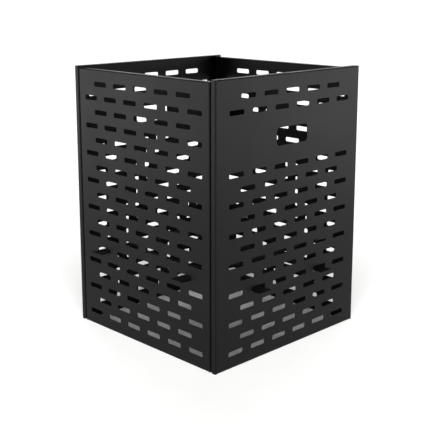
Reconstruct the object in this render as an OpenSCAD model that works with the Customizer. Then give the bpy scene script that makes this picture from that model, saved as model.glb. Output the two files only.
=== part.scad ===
// Square perforated sheet-steel bin, open at the top and at the bottom, with four flat support bars.
// +X is the right side, -Y is the front, +Z is up. The origin is the centre of the footprint, on the ground.

/* [Body] */
// Overall width of the four walls, left to right
body_w = 400; // [320:1:520]
// Overall depth of the four walls, front to rear
body_d = 400; // [320:1:520]
// Height of the front and rear panels
body_h = 530; // [420:1:700]
// How far the top of the side panels lies below the front and rear panels
side_drop = 4; // [0:0.5:10]
// Thickness of the sheet steel
sheet = 1.2; // [0.8:0.1:2]
// Outer radius of every fold
fold_r = 2.5; // [2.2:0.1:3.5]

/* [Folded edges] */
// Depth of the return along the top edge of each panel
top_return = 14; // [8:1:20]
// Depth of the return along the bottom edge of each panel
bottom_return = 15; // [8:1:20]
// Width of the front and rear panels' return that shows on the side faces
corner_return = 12; // [11:0.5:18]
// Open gap between the corner return and the side panel
seam_gap = 2.5; // [1.5:0.5:4]
// Depth of the two flanges that are bolted together inside each corner
seam_flange = 16; // [15:1:22]
// Gap left where folds, returns and flanges of the panels meet
relief = 0.5; // [0.3:0.1:1]

/* [Slots] */
// Length of a slot
slot_l = 37; // [34:1:42]
// Height of a slot
slot_h = 9.5; // [7:0.5:12]
// Corner radius of a slot
slot_r = 3; // [1:0.5:3.5]
// Number of slots in the longer rows
slot_cols = 6; // [4:1:6]
// Number of rows
slot_rows = 18; // [16:1:18]
// Solid sheet beside the outermost slot of the longer rows
slot_side = 33.5; // [25:0.5:45]
// Top edge of the front panel to the middle of the first row
slot_top = 32; // [24:1:50]
// Bottom edge to the middle of the last row
slot_bottom = 28; // [24:1:50]

/* [Hand holes] */
// Width of the hand hole in the front and rear panels
hand_w = 86; // [70:1:110]
// Height of the hand hole
hand_h = 34; // [26:1:40]
// Corner radius of the hand hole
hand_r = 8; // [3:0.5:12]
// Row, counted from the top, that the hand hole is centred on
hand_row = 4; // [3:1:6]
// Rows left out above and below that row
hand_blank = 1; // [1:1:2]

/* [Support bars] */
// Width of a flat support bar
bar_w = 30; // [20:1:32]
// Thickness of a flat support bar
bar_t = 1.5; // [1:0.5:4]
// How far each bar's end stands out of the wall
bar_out = 20; // [10:1:30]
// Gap between a bar and the slot edge that it slides over
bar_gap = 0.3; // [0.2:0.1:1]
// Row, counted from the top, that the left-to-right bars pass through
bar_row = 13; // [10:1:15]

/* [Seam fasteners] */
// Thread diameter of the seam bolts
bolt_d = 5; // [4:0.5:5]
// Width across the flats of the bolt heads and nuts
bolt_af = 8; // [7:0.5:9]
// Height of a bolt head
head_h = 3.5; // [2.8:0.1:4]
// Height of a nut
nut_h = 4; // [3:0.5:5]
// Length of bolt that shows past the nut
bolt_past = 2; // [1:0.5:4]
// Outer diameter of the spacer between two flanges
spacer_d = 10; // [8:0.5:11]
// Radial clearance of a bolt in its holes
hole_gap = 0.25; // [0.1:0.05:0.5]
// Radial clearance of a bolt in its nut
thread_gap = 0.05; // [0.02:0.01:0.1]
// Number of bolts in each corner seam
seam_bolts = 3; // [2:1:5]
// Height of the lowest bolt, and the same distance down from the top for the highest
seam_end = 70; // [50:5:100]

/* [Hidden] */
$fn = 48;
steel_black = [0.16, 0.16, 0.165];
zinc = [0.62, 0.63, 0.65];

side_h = body_h - side_drop;
side_start = corner_return + seam_gap;
side_w = body_d - 2 * side_start;
row_pitch = (body_h - slot_top - slot_bottom) / (slot_rows - 1);
pitch_x = (body_w - 2 * slot_side - slot_l) / (slot_cols - 1);
pitch_y = (body_d - 2 * slot_side - slot_l) / (slot_cols - 1);
flange_x = body_w / 2 - (seam_flange + fold_r) / 2;
flange_y = body_d / 2 - corner_return;
cut = 0.5;

// Height of the middle of a row, counted from the top
function row_z(row) = body_h - slot_top - (row - 1) * row_pitch;
// Number of slots in a row: the rows alternate, and the first one is a short row
function cols_in(row) = slot_cols - row % 2;
// Place along the row of slot i of n
function slot_x(i, n, pitch) = (i - (n - 1) / 2) * pitch;
// Heights of the bolts in a seam
function bolt_z(i) = seam_end + i * (body_h - 2 * seam_end) / (seam_bolts - 1);

// Quarter ring of one sheet thickness around the origin, in the +X +Y quadrant
module fold_2d() {
  intersection() {
    difference() {
      circle(r = fold_r);
      circle(r = fold_r - sheet);
    }
    square(fold_r);
  }
}

// Rectangle with round corners, centred
module rounded_rect(w, h, r) {
  square([w - 2 * r, h], center = true);
  square([w, h - 2 * r], center = true);
  for (sx = [-1, 1], sz = [-1, 1])
    translate([sx * (w / 2 - r), sz * (h / 2 - r)]) circle(r = r);
}

// All slots of one panel, in the plane of the panel
module slots_2d(pitch, blank) {
  for (row = [1 : slot_rows])
    if (!blank || abs(row - hand_row) > hand_blank)
      for (i = [0 : cols_in(row) - 1])
        translate([slot_x(i, cols_in(row), pitch), row_z(row)])
          rounded_rect(slot_l, slot_h, slot_r);
}

// Stands a shape drawn in X and Z upright, from the outer face one sheet inwards
module upright() {
  translate([0, sheet, 0]) rotate([90, 0, 0]) linear_extrude(sheet) children();
}

// Runs a section drawn in Y (inwards) and Z along X
module along_x(length) {
  translate([-length / 2, 0, 0]) rotate([90, 0, 90]) linear_extrude(length) children();
}

// Flat face of a panel with its top and bottom returns. The outer face lies on y = 0 and inwards is +Y
module panel_face(w, h) {
  run = w - 2 * (fold_r + relief);
  upright() difference() {
    translate([-run / 2, fold_r]) square([run, h - 2 * fold_r]);
    children();
  }
  along_x(run) {
    translate([fold_r, fold_r]) rotate(180) fold_2d();
    translate([fold_r, h - fold_r]) rotate(90) fold_2d();
    translate([fold_r, 0]) square([bottom_return - fold_r, sheet]);
    translate([fold_r, h - sheet]) square([top_return - fold_r, sheet]);
  }
}

// Draws what is modelled at the +X end of a panel at its -X end as well
module both_ends() {
  for (turn = [0, 1]) mirror([turn, 0, 0]) children();
}

// Strip of face beside each end fold, and the fold itself, over the whole height
module end_folds(w, h) {
  both_ends() linear_extrude(h) {
    translate([w / 2 - fold_r - relief, 0]) square([relief, sheet]);
    translate([w / 2 - fold_r, fold_r]) rotate(-90) fold_2d();
  }
}

// Holes for the seam bolts, along Y, in panel coordinates
module bolt_holes(x, y) {
  both_ends() for (i = [0 : seam_bolts - 1])
    translate([x, y, bolt_z(i)]) rotate([-90, 0, 0])
      cylinder(r = bolt_d / 2 + hole_gap, h = sheet + 2 * cut);
}

// Notches that keep the ends of the returns clear of the side panels' flanges
module return_notches() {
  depth = max(top_return, bottom_return);
  both_ends() translate([body_w / 2 - seam_flange - relief, side_start - relief, -cut])
    cube([seam_flange, depth, body_h + 2 * cut]);
}

// Front or rear panel: its ends fold back along the sides, then inwards
module hand_panel() {
  difference() {
    panel_face(body_w, body_h) {
      slots_2d(pitch_x, true);
      translate([0, row_z(hand_row)]) rounded_rect(hand_w, hand_h, hand_r);
    }
    return_notches();
  }
  end_folds(body_w, body_h);
  both_ends() translate([body_w / 2 - sheet, fold_r, 0])
    cube([sheet, corner_return - 2 * fold_r, body_h]);
  difference() {
    both_ends() translate([0, 0, sheet + relief])
      linear_extrude(body_h - 2 * (sheet + relief)) {
        translate([body_w / 2 - fold_r, corner_return - fold_r]) fold_2d();
        translate([body_w / 2 - seam_flange, corner_return - sheet])
          square([seam_flange - fold_r, sheet]);
      }
    bolt_holes(flange_x, corner_return - sheet - cut);
  }
}

// Left or right panel: its ends fold straight inwards
module side_panel() {
  panel_face(side_w, side_h) slots_2d(pitch_y, false);
  end_folds(side_w, side_h);
  difference() {
    both_ends() translate([side_w / 2 - sheet, fold_r, 0])
      cube([sheet, seam_flange - fold_r, side_h]);
    for (i = [0 : seam_bolts - 1])
      translate([-side_w, body_w / 2 - flange_x, bolt_z(i)]) rotate([0, 90, 0])
        cylinder(r = bolt_d / 2 + hole_gap, h = 2 * side_w);
  }
}

// One flat bar along X, lying on the lower edge of the slots of its row
module support_bar(length, row) {
  translate([-length / 2, -bar_w / 2, row_z(row) - slot_h / 2 + bar_gap])
    cube([length, bar_w, bar_t]);
}

// Bolts, spacers and nuts of one seam, for the front left corner
module seam_place() {
  for (i = [0 : seam_bolts - 1])
    translate([-flange_x, -flange_y - sheet, bolt_z(i)]) rotate([-90, 0, 0]) children();
}

module hexagon(h) {
  cylinder(r = bolt_af / 2 / cos(30), h = h, $fn = 6);
}

module bolts() {
  grip = 2 * sheet + seam_gap + nut_h + bolt_past;
  color(zinc) seam_place() {
    translate([0, 0, -head_h]) hexagon(head_h);
    cylinder(r = bolt_d / 2, h = grip);
  }
}

module spacers() {
  color(zinc) seam_place() translate([0, 0, sheet]) difference() {
    cylinder(r = spacer_d / 2, h = seam_gap);
    translate([0, 0, -cut]) cylinder(r = bolt_d / 2 + hole_gap, h = seam_gap + 2 * cut);
  }
}

module nuts() {
  color(zinc) seam_place() translate([0, 0, 2 * sheet + seam_gap]) difference() {
    hexagon(nut_h);
    translate([0, 0, -cut]) cylinder(r = bolt_d / 2 + thread_gap, h = nut_h + 2 * cut);
  }
}

// Mirrors what is modelled for the front left corner to another corner
module corner(sx, sy) {
  mirror([sx, 0, 0]) mirror([0, sy, 0]) children();
}

module front_panel() {
  color(steel_black) translate([0, -body_d / 2, 0]) hand_panel();
}

module rear_panel() {
  color(steel_black) rotate([0, 0, 180]) translate([0, -body_d / 2, 0]) hand_panel();
}

module left_panel() {
  color(steel_black) rotate([0, 0, -90]) translate([0, -body_w / 2, 0]) side_panel();
}

module right_panel() {
  color(steel_black) rotate([0, 0, 90]) translate([0, -body_w / 2, 0]) side_panel();
}

// Front-to-rear bar, one row under the upper bars
module lower_bar(side) {
  x = side * slot_x(slot_cols - 2, cols_in(bar_row + 1), pitch_x);
  color(steel_black) translate([x, 0, 0]) rotate([0, 0, 90])
    support_bar(body_d + 2 * bar_out, bar_row + 1);
}

// Left-to-right bar
module upper_bar(side) {
  y = side * slot_x(slot_cols - 2, cols_in(bar_row), pitch_y);
  color(steel_black) translate([0, y, 0]) support_bar(body_w + 2 * bar_out, bar_row);
}

front_panel();
rear_panel();
left_panel();
right_panel();
lower_bar(-1);  // left_lower_bar
lower_bar(1);  // right_lower_bar
upper_bar(-1);  // front_upper_bar
upper_bar(1);  // rear_upper_bar
corner(0, 0) bolts();  // front_left_bolts
corner(0, 0) spacers();  // front_left_spacers
corner(0, 0) nuts();  // front_left_nuts
corner(1, 0) bolts();  // front_right_bolts
corner(1, 0) spacers();  // front_right_spacers
corner(1, 0) nuts();  // front_right_nuts
corner(0, 1) bolts();  // rear_left_bolts
corner(0, 1) spacers();  // rear_left_spacers
corner(0, 1) nuts();  // rear_left_nuts
corner(1, 1) bolts();  // rear_right_bolts
corner(1, 1) spacers();  // rear_right_spacers
corner(1, 1) nuts();  // rear_right_nuts
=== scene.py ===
import math

import bmesh
import bpy
import numpy as np
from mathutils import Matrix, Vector


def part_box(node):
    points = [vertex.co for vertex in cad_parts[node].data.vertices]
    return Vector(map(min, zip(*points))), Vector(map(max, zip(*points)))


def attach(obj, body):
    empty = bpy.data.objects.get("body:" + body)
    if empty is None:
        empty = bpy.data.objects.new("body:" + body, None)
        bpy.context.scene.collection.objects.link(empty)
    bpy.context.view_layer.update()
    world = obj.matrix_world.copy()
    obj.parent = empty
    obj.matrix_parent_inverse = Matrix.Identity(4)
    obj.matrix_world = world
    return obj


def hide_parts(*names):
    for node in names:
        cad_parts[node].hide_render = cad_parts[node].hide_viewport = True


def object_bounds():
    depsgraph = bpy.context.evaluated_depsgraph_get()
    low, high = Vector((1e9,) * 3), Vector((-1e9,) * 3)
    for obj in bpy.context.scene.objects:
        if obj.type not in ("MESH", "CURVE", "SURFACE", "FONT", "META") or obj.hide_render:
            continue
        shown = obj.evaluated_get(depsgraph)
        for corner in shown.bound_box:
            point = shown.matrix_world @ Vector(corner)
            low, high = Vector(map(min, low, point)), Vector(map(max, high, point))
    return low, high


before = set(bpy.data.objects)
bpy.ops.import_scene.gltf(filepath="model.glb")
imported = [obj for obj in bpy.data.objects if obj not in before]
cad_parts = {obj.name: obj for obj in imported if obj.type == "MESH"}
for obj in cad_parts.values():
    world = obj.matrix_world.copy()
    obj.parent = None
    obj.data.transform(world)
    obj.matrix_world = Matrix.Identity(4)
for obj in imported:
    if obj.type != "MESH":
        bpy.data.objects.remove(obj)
cad_low, cad_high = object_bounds()

MM = 0.001
HEIGHT = cad_high.z - cad_low.z
MIDDLE = (cad_low + cad_high) / 2

PANELS = ["front_panel", "rear_panel", "left_panel", "right_panel"]
# Each bar and the axis that it lies along
BARS = {
    "left_lower_bar": "Y", "right_lower_bar": "Y",
    "front_upper_bar": "X", "rear_upper_bar": "X",
}
CORNERS = ["front_left", "front_right", "rear_left", "rear_right"]


# ---------------------------------------------------------------- colours and nodes

def srgb(hex_code):
    """Linear red, green, blue and alpha of an sRGB colour written as six hex digits."""
    parts = np.array([int(hex_code[i:i + 2], 16) / 255 for i in (0, 2, 4)])
    linear = np.where(parts <= 0.04045, parts / 12.92, ((parts + 0.055) / 1.055) ** 2.4)
    return (*linear.tolist(), 1.0)


def add_node(tree, kind, inputs=None, **settings):
    """Adds one node. Settings are its properties; an input is another node's output or a value."""
    made = tree.nodes.new(kind)
    for name, value in settings.items():
        setattr(made, name, value)
    for name, value in (inputs or {}).items():
        if isinstance(value, bpy.types.NodeSocket):
            tree.links.new(value, made.inputs[name])
        else:
            made.inputs[name].default_value = value
    return made


def new_material(name):
    """A node material with nothing in its tree, and the tree."""
    made = bpy.data.materials.new(name)
    made.use_nodes = True
    made.node_tree.nodes.clear()
    return made, made.node_tree


def output(tree, shader):
    """Makes a shader the surface of the material."""
    add_node(tree, "ShaderNodeOutputMaterial", {"Surface": shader.outputs["BSDF"]})


def remap(tree, source, low, high, start=0.0, end=1.0):
    """Maps a value from start..end to low..high, and holds it there outside."""
    inputs = {"Value": source, "From Min": start, "From Max": end, "To Min": low, "To Max": high}
    return add_node(tree, "ShaderNodeMapRange", inputs).outputs["Result"]


def blend(tree, factor, first, second):
    """Mixes two colours by a value."""
    # The colour sockets of a Mix node share their names with its number sockets
    factor_socket, first_socket, second_socket, result_socket = 0, 6, 7, 2
    inputs = {factor_socket: factor, first_socket: first, second_socket: second}
    return add_node(tree, "ShaderNodeMix", inputs, data_type="RGBA").outputs[result_socket]


def noise(tree, place, size, detail=2.0, roughness=0.5):
    """Smooth random values with lumps of the given size in metres."""
    inputs = {"Vector": place, "Scale": 1 / size, "Detail": detail, "Roughness": roughness}
    return add_node(tree, "ShaderNodeTexNoise", inputs).outputs["Fac"]


def bump(tree, height, depth, strength, normal=None):
    """Turns a height from 0 to 1 into dents of the given depth in metres."""
    inputs = {"Height": height, "Distance": depth, "Strength": strength}
    if normal:
        inputs["Normal"] = normal
    return add_node(tree, "ShaderNodeBump", inputs).outputs["Normal"]


# ---------------------------------------------------------------- materials

def satin_powder_coat():
    """
    Black polyester powder coat, sprayed on sheet steel and baked. It gives the eye an even satin
    black with a soft sheen towards the light, a faint orange peel, and rounded cut edges.
    """
    made, tree = new_material("satin_powder_coat")
    place = add_node(tree, "ShaderNodeTexCoord").outputs["Object"]
    film = noise(tree, place, 90 * MM, 3.0, 0.55)
    # Real orange peel has waves of about 1.5 mm; they are drawn at 4 mm to show at this distance
    peel = noise(tree, place, 4 * MM, 2.0, 0.45)
    grain = noise(tree, place, 1.2 * MM, 1.0)
    rounded = add_node(tree, "ShaderNodeBevel", {"Radius": 0.5 * MM}, samples=4)
    waves = bump(tree, peel, 0.3 * MM, 0.5, rounded.outputs["Normal"])
    skin = bump(tree, grain, 0.05 * MM, 0.3, waves)
    colour = blend(tree, remap(tree, film, 0, 1, 0.35, 0.65), srgb("141418"), srgb("1A1A1F"))
    output(tree, add_node(tree, "ShaderNodeBsdfPrincipled", {
        "Base Color": colour,
        "Roughness": remap(tree, film, 0.35, 0.43, 0.3, 0.7),
        "Normal": skin,
        "IOR": 1.5,
    }))
    return made


def shaded_streaked_powder_coat(along):
    """
    The same coat on a flat bar that is drawn in and out of its slots: a little smoother, with fine
    burnished streaks along the bar.
    Its black is painted deeper than the panels' as painted shade, so the bars look darker than the same
    coat would under the same lamps.
    """
    made, tree = new_material("shaded_streaked_powder_coat_" + along.lower())
    place = add_node(tree, "ShaderNodeTexCoord").outputs["Object"]
    # Streaks about 1.5 mm wide and 150 mm long
    wide, long = 1 / (1.5 * MM), 1 / (150 * MM)
    scale = (long, wide, wide) if along == "X" else (wide, long, wide)
    drawn = add_node(tree, "ShaderNodeMapping", {"Vector": place, "Scale": scale}).outputs["Vector"]
    streaks = noise(tree, drawn, 1.0, 3.0)
    peel = noise(tree, place, 4 * MM, 2.0, 0.45)
    skin = bump(tree, peel, 0.2 * MM, 0.15)
    # Painted shade: both streak colours are darker than the panels' coat, so the bars look shaded
    output(tree, add_node(tree, "ShaderNodeBsdfPrincipled", {
        "Base Color": blend(tree, remap(tree, streaks, 0, 1, 0.4, 0.7), srgb("0C0C0F"), srgb("141417")),
        "Roughness": remap(tree, streaks, 0.30, 0.42, 0.35, 0.65),
        "Normal": skin,
        "IOR": 1.5,
    }))
    return made


def passivated_zinc():
    """
    Zinc-plated and clear-passivated steel, barrel-plated: a soft bluish metal with fine crystals
    and duller patches where the plating is thin.
    """
    made, tree = new_material("passivated_zinc")
    place = add_node(tree, "ShaderNodeTexCoord").outputs["Object"]
    crystals = add_node(
        tree, "ShaderNodeTexVoronoi", {"Vector": place, "Scale": 1 / (0.8 * MM)},
    ).outputs["Distance"]
    patches = noise(tree, place, 4 * MM, 3.0)
    output(tree, add_node(tree, "ShaderNodeBsdfPrincipled", {
        "Base Color": blend(tree, remap(tree, patches, 0, 1, 0.35, 0.7), srgb("9EA3AA"), srgb("C3C8CE")),
        "Roughness": remap(tree, crystals, 0.28, 0.42, 0.0, 0.6),
        "Normal": bump(tree, crystals, 0.03 * MM, 0.15),
        "Metallic": 1.0,
    }))
    return made


def pale_table_paint():
    """
    Matt white studio table with a trace of roller mottle. The camera sees it white, while the
    object is lit by it as by a grey one, so that its lower part and its inside stay dark.
    """
    made, tree = new_material("pale_table_paint")
    place = add_node(tree, "ShaderNodeTexCoord").outputs["Object"]
    seen = add_node(tree, "ShaderNodeLightPath").outputs["Is Camera Ray"]
    white = blend(tree, noise(tree, place, 60 * MM, 3.0), srgb("F3F3F2"), srgb("F7F7F6"))
    output(tree, add_node(tree, "ShaderNodeBsdfPrincipled", {
        "Base Color": blend(tree, seen, srgb("8F8F8D"), white),
        "Roughness": 0.9,
        "Specular IOR Level": 0.2,
    }))
    return made


def paint(piece, material):
    """Gives a whole piece one material."""
    piece.data.materials.clear()
    piece.data.materials.append(material)


# ---------------------------------------------------------------- seam fasteners

BOLTS_IN_SEAM = 3
# Points round a turned surface, and their directions from its axis
AROUND = 48
ANGLES = np.linspace(0, 2 * np.pi, AROUND, endpoint=False)
# M5 bolt: width across the flats, height of the head, radius of the shank, length of its plain neck
FLATS = 8 * MM
HEAD = 3.5 * MM
SHANK = 2.5 * MM
NECK = 3 * MM
THREAD_PITCH = 0.8 * MM
THREAD_DEPTH = 0.4 * MM
# Rings of points in one pitch of the thread
LEVELS_IN_PITCH = 8
# A hexagon's corner and its round washer face, as radii, and the height of the cone between them
CORNER = FLATS / 2 / math.cos(math.pi / 6)
WASHER = 0.95 * FLATS / 2
CONE_DROP = (CORNER - WASHER) * math.tan(math.pi / 6)
# Size of a broken edge, and radial clearances of a bolt in its nut and in a spacer
EDGE = 0.3 * MM
THREAD_GAP = 0.05 * MM
HOLE_GAP = 0.25 * MM
# Points nearer to each other than this are one point
SAME_POINT = 0.001 * MM


def ring_grid(points):
    """A grid of points, one closed ring per row, as a list of points and the quads between them."""
    index = np.arange(points.shape[0] * points.shape[1]).reshape(points.shape[:2])
    across = np.roll(index, -1, axis=1)
    quads = np.stack([index[:-1], across[:-1], across[1:], index[1:]], axis=-1)
    return points.reshape(-1, 3), quads.reshape(-1, 4)


def turned(heights, radii):
    """
    A surface round the Z axis on a grid: point (i, j) lies at heights[i] and at radii[i, j] from
    the axis, at the angle of j steps round a full turn. Returns its points and its quads, with the
    normals outwards where the heights rise.
    """
    radii = np.broadcast_to(radii, (len(heights), AROUND))
    height = np.broadcast_to(np.asarray(heights)[:, None], radii.shape)
    points = np.stack([radii * np.cos(ANGLES), radii * np.sin(ANGLES), height], axis=-1)
    return ring_grid(points)


def chamfered_hexagon(heights, cone):
    """
    A hexagonal bar whose corners are turned off by a cone. Its radius is half the flats over the
    cosine of the angle from the middle of the nearest side, and at most cone[i] at heights[i].
    """
    hexagon = FLATS / 2 / np.cos(ANGLES % (np.pi / 3) - np.pi / 6)
    return turned(heights, np.minimum(hexagon[None, :], np.asarray(cone)[:, None]))


def bolt_surface(length):
    """
    A hexagon bolt along +Z, with its seat at the origin: a washer-faced head whose corners are
    turned off at 30 degrees, a plain neck, and a thread that runs out into a pointed end. The
    thread's radius is a cosine of height over pitch less angle over a full turn.
    """
    head_z = [-HEAD, -HEAD, -HEAD + CONE_DROP, -EDGE, -EDGE, 0, 0]
    head = chamfered_hexagon(head_z, [0, WASHER, CORNER, CORNER, WASHER, WASHER, 0])

    levels = np.linspace(NECK, length, int((length - NECK) / THREAD_PITCH * LEVELS_IN_PITCH))
    turn = levels[:, None] / THREAD_PITCH - ANGLES[None, :] / (2 * np.pi)
    groove = THREAD_DEPTH * (0.5 - 0.5 * np.cos(2 * np.pi * turn))
    run_in = np.clip((levels - NECK) / THREAD_PITCH, 0, 1)[:, None]
    point = SHANK - 2 * THREAD_DEPTH + (length - levels)[:, None]
    thread = np.minimum(SHANK - groove * run_in, point)
    axis = np.zeros((1, AROUND))
    heights = np.concatenate([[0, 0], levels, [length]])
    return [head, turned(heights, np.concatenate([axis, axis + SHANK, thread, axis]))]


def nut_surface(height, bore):
    """
    A hexagon nut along +Z from the origin: both ends chamfered at 30 degrees, the bore countersunk,
    drawn as one closed ring from the bore's lower edge round the outside and back.
    """
    sink = 2 * EDGE
    z = [sink, 0, 0, CONE_DROP, height - CONE_DROP, height, height, height - sink, sink]
    cone = [bore, bore + sink, WASHER, CORNER, CORNER, WASHER, bore + sink, bore, bore]
    return [chamfered_hexagon(z, cone)]


def spacer_surface(height, bore, outer):
    """A turned spacer tube along +Z from the origin, with broken edges, as one closed ring."""
    z = [EDGE, 0, 0, EDGE, height - EDGE, height, height, height - EDGE, EDGE]
    inner, flat = bore + EDGE, outer - EDGE
    radii = np.array([bore, inner, flat, outer, outer, flat, inner, bore, bore])
    return [turned(z, radii[:, None])]


def add_seam_set(node, seat_gap, surfaces, material, tall):
    """
    Replaces the fasteners of one corner by detailed ones. They stand on the seam's axis at equal
    steps of height, turned to point from the nearer front or rear wall to the middle. seat_gap is
    how far the surfaces' origin lies from the node's outer end, and tall is the height of each.
    """
    low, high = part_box(node)
    inwards = -1 if (low.y + high.y) / 2 > MIDDLE.y else 1
    seat = (high.y if inwards < 0 else low.y) + inwards * seat_gap
    middle_x = (low.x + high.x) / 2
    stops = np.linspace(low.z + tall / 2, high.z - tall / 2, BOLTS_IN_SEAM)
    points, quads, count = [], [], 0
    for stop in stops:
        for local, faces in surfaces:
            # A quarter turn about X points +Z at +Y, and half a turn about Z then points it at -Y
            x, y, z = local.T
            placed = np.stack([middle_x + x * inwards, seat + inwards * z, stop - y], axis=-1)
            points.append(placed)
            quads.append(faces + count)
            count += len(local)
    points, quads = np.concatenate(points), np.concatenate(quads)
    return add_piece(node, "housing", material, points, quads)


def add_piece(node, body, material, points, quads):
    """Makes the piece that stands for a node, on that node's body and in its material slot."""
    mesh = bpy.data.meshes.new(node + "_detail")
    mesh.from_pydata(points, [], quads)
    made = bpy.data.objects.new(node + "_detail", mesh)
    bpy.context.collection.objects.link(made)
    tidy_mesh(mesh)
    paint(made, material)
    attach(made, body)
    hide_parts(node)
    return made


def tidy_mesh(mesh):
    """Merges doubled points, drops faces with no area, and points every normal outwards."""
    work = bmesh.new()
    work.from_mesh(mesh)
    bmesh.ops.remove_doubles(work, verts=work.verts, dist=SAME_POINT)
    bmesh.ops.dissolve_degenerate(work, dist=SAME_POINT, edges=work.edges)
    bmesh.ops.recalc_face_normals(work, faces=work.faces)
    work.to_mesh(mesh)
    work.free()


def add_fasteners(material):
    """Detailed bolts, nuts and spacers at every corner, as a list of pieces."""
    made = []
    for corner in CORNERS:
        low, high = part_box(corner + "_bolts")
        bolt = bolt_surface(high.y - low.y - HEAD)
        made.append(add_seam_set(corner + "_bolts", HEAD, bolt, material, FLATS))
        low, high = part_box(corner + "_nuts")
        nut = nut_surface(high.y - low.y, SHANK + THREAD_GAP)
        made.append(add_seam_set(corner + "_nuts", 0, nut, material, FLATS))
        low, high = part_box(corner + "_spacers")
        outer = high.x - low.x
        tube = spacer_surface(high.y - low.y, SHANK + HOLE_GAP, outer / 2)
        made.append(add_seam_set(corner + "_spacers", 0, tube, material, outer))
    return made


# ---------------------------------------------------------------- support bars

# Radius of a bar's edges, and the points in the quarter circle that rounds them
BAR_ROUND = 0.4 * MM
QUARTER = 5


def bar_surface(low, high, along):
    """
    A flat bar between two corners of a box, with all its edges rounded. The section is a rectangle
    smaller by the edge's radius all round, grown by the radius times the sine of an angle. The
    angle runs from 0 at each end to a right angle, while the section moves inwards by the radius
    less the radius times the angle's cosine. A ring of no size closes the middle of each end.
    """
    size, centre = high - low, (low + high) / 2
    length, width = (size.x, size.y) if along == "X" else (size.y, size.x)
    rise = np.linspace(0, np.pi / 2, QUARTER)
    grown = BAR_ROUND * np.sin(rise)
    moved = BAR_ROUND * (1 - np.cos(rise))
    # One row for each ring along the bar
    station = np.concatenate([[0], moved, length - moved[::-1], [length]])[:, None]
    growth = np.concatenate([[0], grown, grown[::-1], [0]])[:, None]
    ring = np.concatenate([[0], np.ones(2 * QUARTER), [0]])[:, None]

    # One column for each point round the section, a quarter circle at each of its four corners
    corner = np.repeat(np.arange(4), QUARTER) * np.pi / 2
    turn = corner + np.tile(rise, 4)
    side = np.sign(np.cos(corner + np.pi / 4)) * (width / 2 - BAR_ROUND)
    face = np.sign(np.sin(corner + np.pi / 4)) * (size.z / 2 - BAR_ROUND)
    across = ring * side + growth * np.cos(turn)
    up = centre.z + ring * face + growth * np.sin(turn)
    station = np.broadcast_to(station, across.shape)
    if along == "X":
        return ring_grid(np.stack([low.x + station, centre.y + across, up], axis=-1))
    return ring_grid(np.stack([centre.x + across, low.y + station, up], axis=-1))


def add_bars(coats):
    """The four flat bars with rounded edges, each on the body of its own name, as a list."""
    made = []
    for name, along in BARS.items():
        points, quads = bar_surface(*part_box(name), along)
        made.append(add_piece(name, name, coats[along], points, quads))
    return made


# ---------------------------------------------------------------- camera, lights and floor

# Where the camera stands: degrees round the object and above the horizon, metres, millimetres
CAMERA_AZIMUTH = -44.5
CAMERA_ELEVATION = 11.83
CAMERA_DISTANCE = 1.832
CAMERA_LENS = 75.4
CAMERA_SHIFT = -0.10
# Height of the point that the camera looks at, as a share of the object's height
LOOK_AT = 0.5925
# How far that point lies to the camera's left
LOOK_SIDE = 3.4 * MM
# Half the height of the soft edge between the bright walls and the dim ground, as a unit vector's z
HORIZON_BLEND = 0.1
# Where the bright walls of light end overhead, and how softly, in the same measure
BAND_TOP = 0.2
BAND_BLEND = 0.12


def direction(azimuth, elevation):
    """Unit vector from the object towards a viewer at this azimuth and elevation, in degrees."""
    a, e = math.radians(azimuth), math.radians(elevation)
    return Vector((math.sin(a) * math.cos(e), -math.cos(a) * math.cos(e), math.sin(e)))


def place_facing(made, target, azimuth, elevation, distance):
    """Puts a camera or light at a distance from a target, looking at it."""
    back = direction(azimuth, elevation)
    made.location = target + back * distance
    made.rotation_mode = "QUATERNION"
    made.rotation_quaternion = (-back).to_track_quat("-Z", "Y")
    bpy.context.collection.objects.link(made)


def add_camera():
    """A long lens that looks slightly down at the front left corner."""
    data = bpy.data.cameras.new("camera")
    data.lens = CAMERA_LENS
    data.sensor_width = 36
    data.shift_y = CAMERA_SHIFT
    data.clip_start = 0.01
    data.clip_end = 200
    made = bpy.data.objects.new("camera", data)
    left = direction(CAMERA_AZIMUTH, 0).cross(Vector((0, 0, 1)))
    target = Vector((MIDDLE.x, MIDDLE.y, cad_low.z + LOOK_AT * HEIGHT)) + left * LOOK_SIDE
    place_facing(made, target, CAMERA_AZIMUTH, CAMERA_ELEVATION, CAMERA_DISTANCE)
    bpy.context.scene.camera = made


def light_only(made, pieces):
    """Makes a light fall on these pieces and on nothing else."""
    lit = bpy.data.collections.new("lit_by_" + made.name)
    for piece in pieces:
        lit.objects.link(piece)
    made.light_linking.receiver_collection = lit


def add_softbox(name, pieces, azimuth, elevation, distance, size, power):
    """
    A square soft light that looks at the middle of the object. It isn't seen itself, and it leaves
    the table alone, where the plane that it stands in would show as an edge.
    """
    data = bpy.data.lights.new(name, "AREA")
    data.shape = "SQUARE"
    data.size = size
    data.energy = power
    made = bpy.data.objects.new(name, data)
    made.visible_camera = False
    place_facing(made, MIDDLE, azimuth, elevation, distance)
    light_only(made, pieces)


def add_table_light(name, table, azimuth, elevation, strength, spread):
    """
    Soft light that falls on the table only. It keeps the table white round the object and grey
    inside it. A sun shines the same from any distance.
    """
    data = bpy.data.lights.new(name, "SUN")
    data.energy = strength
    data.angle = math.radians(spread)
    made = bpy.data.objects.new(name, data)
    place_facing(made, MIDDLE, azimuth, elevation, distance=3)
    light_only(made, [table])


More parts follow.
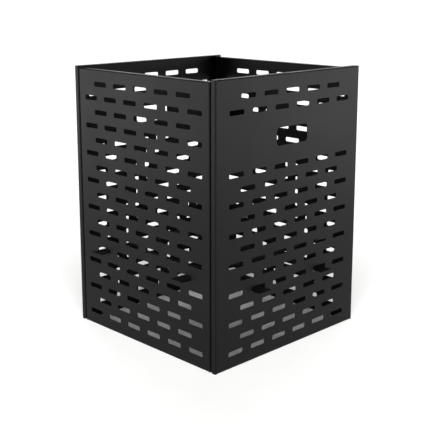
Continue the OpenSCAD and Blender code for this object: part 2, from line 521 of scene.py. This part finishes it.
def add_sky(ground, side, zenith, backdrop):
    """
    Walls of white light all round, dim overhead and dim below. The camera itself sees the
    backdrop's white.
    """
    world = bpy.data.worlds.new("studio")
    world.use_nodes = True
    tree = world.node_tree
    tree.nodes.clear()
    upward = add_node(tree, "ShaderNodeTexCoord").outputs["Generated"]
    height = add_node(tree, "ShaderNodeSeparateXYZ", {"Vector": upward}).outputs["Z"]
    upper = remap(tree, height, side, zenith, BAND_TOP - BAND_BLEND, BAND_TOP + BAND_BLEND)
    level = remap(tree, height, ground, upper, -HORIZON_BLEND, HORIZON_BLEND)
    seen = add_node(tree, "ShaderNodeLightPath").outputs["Is Camera Ray"]
    light = add_node(tree, "ShaderNodeBackground", {"Strength": remap(tree, seen, level, backdrop)})
    light.inputs["Color"].default_value = (1, 1, 1, 1)
    add_node(tree, "ShaderNodeOutputWorld", {"Surface": light.outputs["Background"]})
    bpy.context.scene.world = world


def add_table(material):
    """A wide flat sheet under the object, that reaches 40 m each way so that no edge shows."""
    reach = 40
    mesh = bpy.data.meshes.new("table")
    corners = [(x, y, cad_low.z) for x, y in ((-1, -1), (1, -1), (1, 1), (-1, 1))]
    mesh.from_pydata([(x * reach, y * reach, z) for x, y, z in corners], [], [(0, 1, 2, 3)])
    made = bpy.data.objects.new("table", mesh)
    bpy.context.collection.objects.link(made)
    paint(made, material)
    return made


# ---------------------------------------------------------------- the scene

add_camera()

panel_coat = satin_powder_coat()
bar_coats = {along: shaded_streaked_powder_coat(along) for along in "XY"}
panels = [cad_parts[name] for name in PANELS]
for panel in panels:
    paint(panel, panel_coat)
bars = add_bars(bar_coats)
fasteners = add_fasteners(passivated_zinc())

table = add_table(pale_table_paint())
add_sky(ground=0.3, side=0.72, zenith=0.02, backdrop=1.0)
whole = panels + bars + fasteners
add_softbox("left_softbox", whole, azimuth=-140, elevation=10, distance=1.7, size=1.3, power=4.0)
add_softbox("right_softbox", whole, azimuth=50, elevation=10, distance=1.7, size=1.3, power=4.0)
# Low behind the object: it draws a bright line along the top edges
add_softbox("rim_softbox", panels, azimuth=135, elevation=14, distance=2.5, size=1.2, power=4.0)
add_table_light("table_key", table, azimuth=-45, elevation=40, strength=5.0, spread=60)
# From behind: it lifts the shadow that the key light throws
add_table_light("table_fill", table, azimuth=135, elevation=35, strength=1.3, spread=60)

bpy.context.scene.view_settings.view_transform = "Standard"
